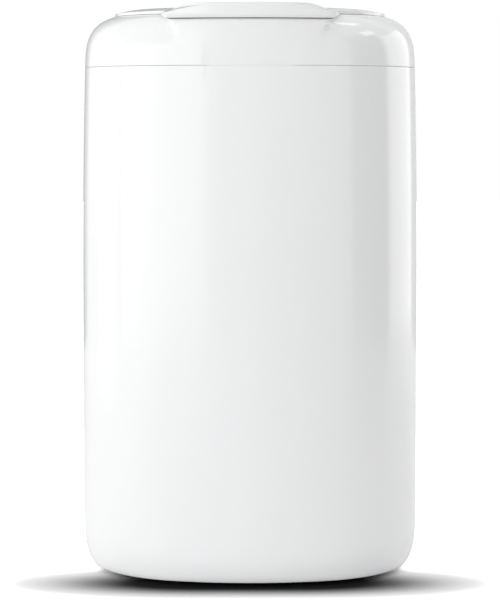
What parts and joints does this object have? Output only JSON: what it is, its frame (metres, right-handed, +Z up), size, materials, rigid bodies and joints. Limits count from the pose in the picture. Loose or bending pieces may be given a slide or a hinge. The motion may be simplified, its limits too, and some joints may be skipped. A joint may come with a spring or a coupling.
{
  "type": "waste bin",
  "caption": "Compact gloss white washroom waste bin with rounded corners, a lift-off cover, a flap lid hinged at the rear and an inner ring that holds the bag",
  "frame": {"origin": "on the floor, under the middle of the body's plan", "axes": "+Z up, -Y towards the front where the flap's lip is, +X to the right seen from the front"},
  "size_m": [0.189, 0.156, 0.3162],
  "materials": {
    "gloss_white": "moulded gloss white ABS",
    "satin_grey": "moulded satin light grey polypropylene",
    "steel": "drawn stainless steel wire",
    "rubber": "matt dark grey rubber"
  },
  "bodies": {
    "body": {"bin_body": "gloss_white", "foot_front_left": "rubber", "foot_front_right": "rubber", "foot_rear_left": "rubber", "foot_rear_right": "rubber"},
    "ring": {"bag_ring": "satin_grey"},
    "head": {"cover": "gloss_white", "hinge_pin_left": "steel", "hinge_pin_right": "steel", "buffer_left": "rubber", "buffer_right": "rubber"},
    "lid": {"flap": "gloss_white"}
  },
  "joints": [
    {"name": "ring_lift", "type": "slide", "parent": "body", "child": "ring", "axis": [0, 0, 1], "range_m": [0, 0.045]},
    {"name": "cover_lift", "type": "slide", "parent": "ring", "child": "head", "axis": [0, 0, 1], "range_m": [0, 0.06]},
    {"name": "flap_hinge", "type": "hinge", "parent": "head", "child": "lid", "pos_m": [0, 0.064, 0.3078], "axis": [-1, 0, 0], "range_deg": [0, 95]}
  ]
}
